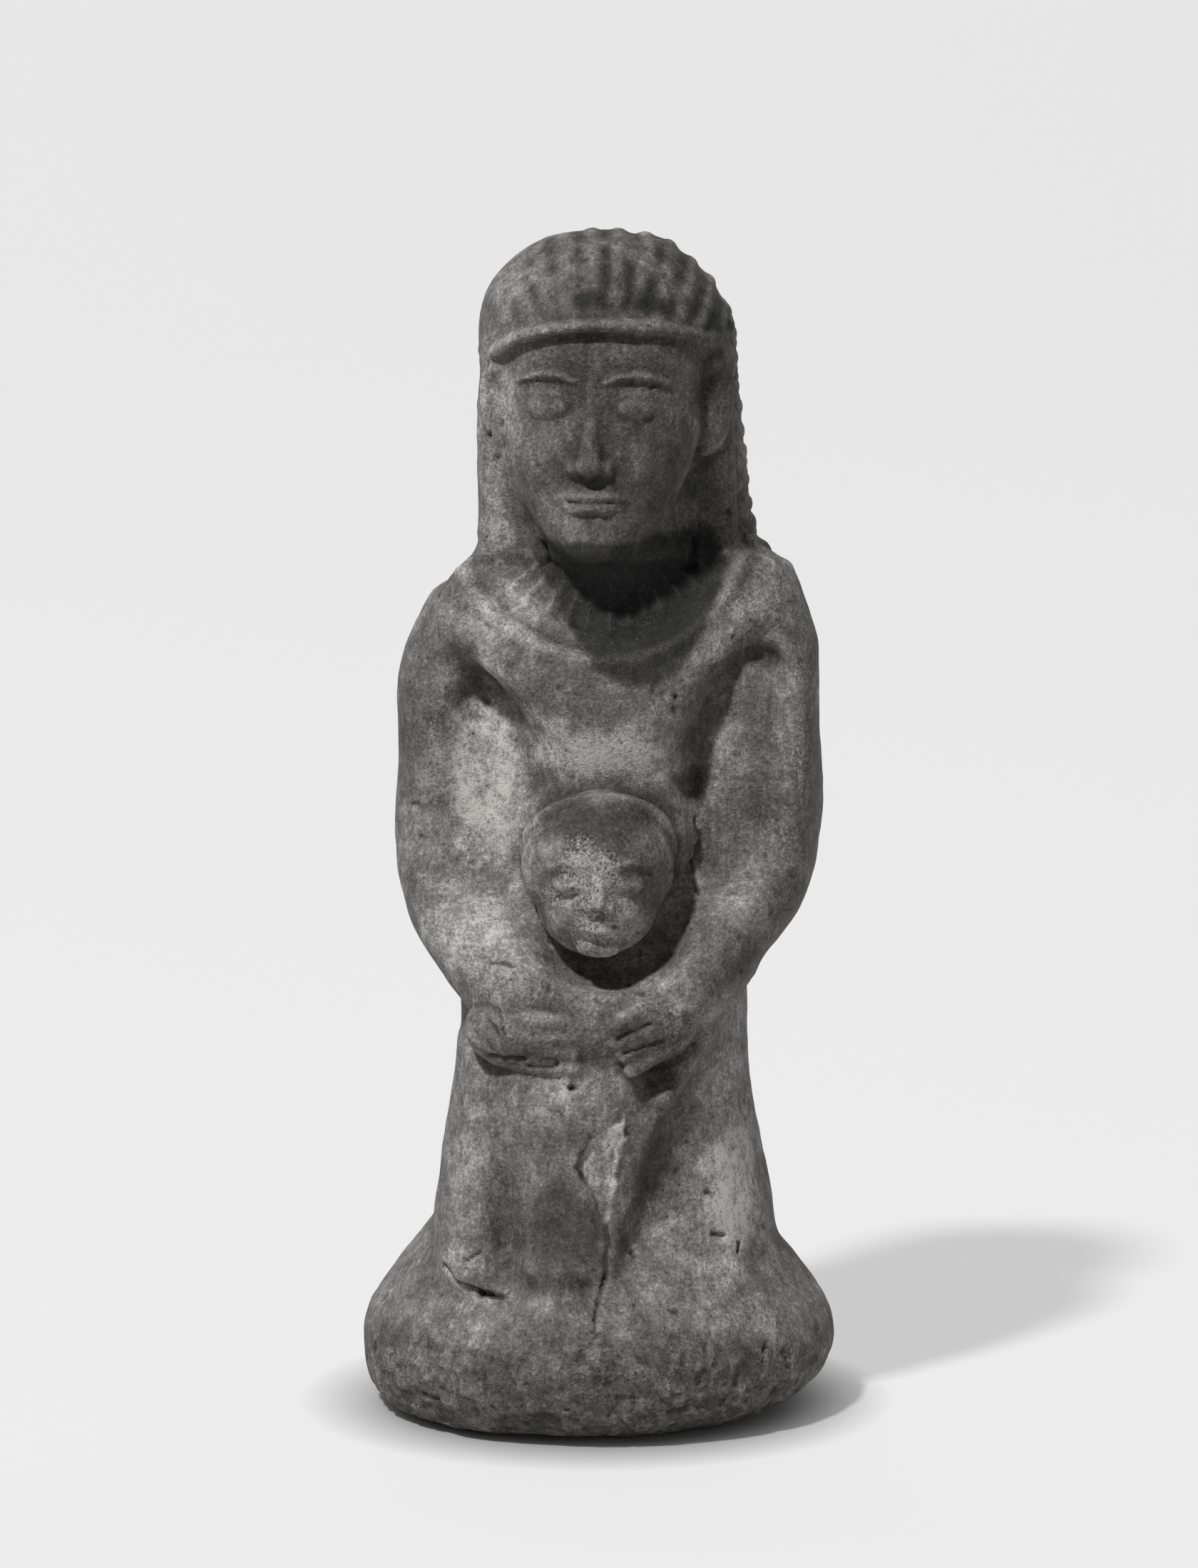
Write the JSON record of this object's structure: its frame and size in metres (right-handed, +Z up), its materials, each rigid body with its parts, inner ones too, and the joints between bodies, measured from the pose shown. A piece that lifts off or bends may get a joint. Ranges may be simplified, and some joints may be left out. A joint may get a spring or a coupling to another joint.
{
  "type": "clay statuette",
  "caption": "Small dark clay figure in a ribbed wig and broad collar, both arms round a child seated against its belly, on a round flaring foot.",
  "frame": {"origin": "centre of the bounding box in X and Y, on the underside of the foot", "axes": "+Z up along the figure, the figure faces -Y, +X is the figure's left"},
  "size_m": [0.0408, 0.0376, 0.1029],
  "materials": {
    "fired_clay": "matte"
  },
  "bodies": {
    "root": {"statuette": "fired_clay"}
  },
  "joints": []
}
